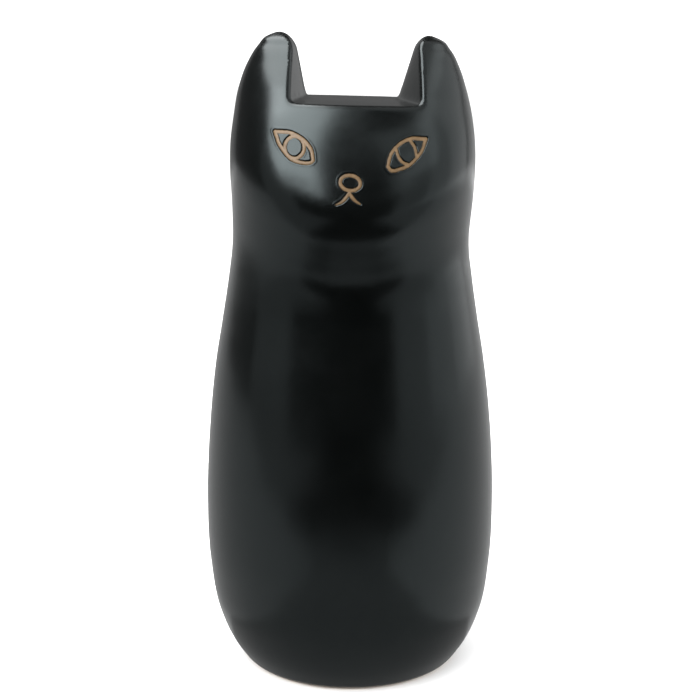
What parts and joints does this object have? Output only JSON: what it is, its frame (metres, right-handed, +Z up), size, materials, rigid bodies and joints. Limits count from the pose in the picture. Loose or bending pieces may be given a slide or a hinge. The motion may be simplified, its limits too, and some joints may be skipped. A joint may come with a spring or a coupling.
{
  "type": "ceramic cat figurine",
  "caption": "Tall hollow ceramic cat with two ears, a satin black glaze and a face drawn in thin copper-coloured lines.",
  "frame": {"origin": "middle of the resting plane under the body", "axes": "+Z up from the foot to the ears, -Y the way the cat looks, +X to the viewer's right"},
  "size_m": [0.1388, 0.1333, 0.3009],
  "materials": {
    "black_glaze": "satin black glaze with a slight green-blue tint and a fine orange-peel surface",
    "copper_slip": "copper-coloured slip with a soft sheen, slightly uneven"
  },
  "bodies": {
    "root": {"body": "black_glaze", "left_eye_line": "copper_slip", "right_eye_line": "copper_slip", "nose_line": "copper_slip", "mouth_line": "copper_slip"}
  },
  "joints": []
}
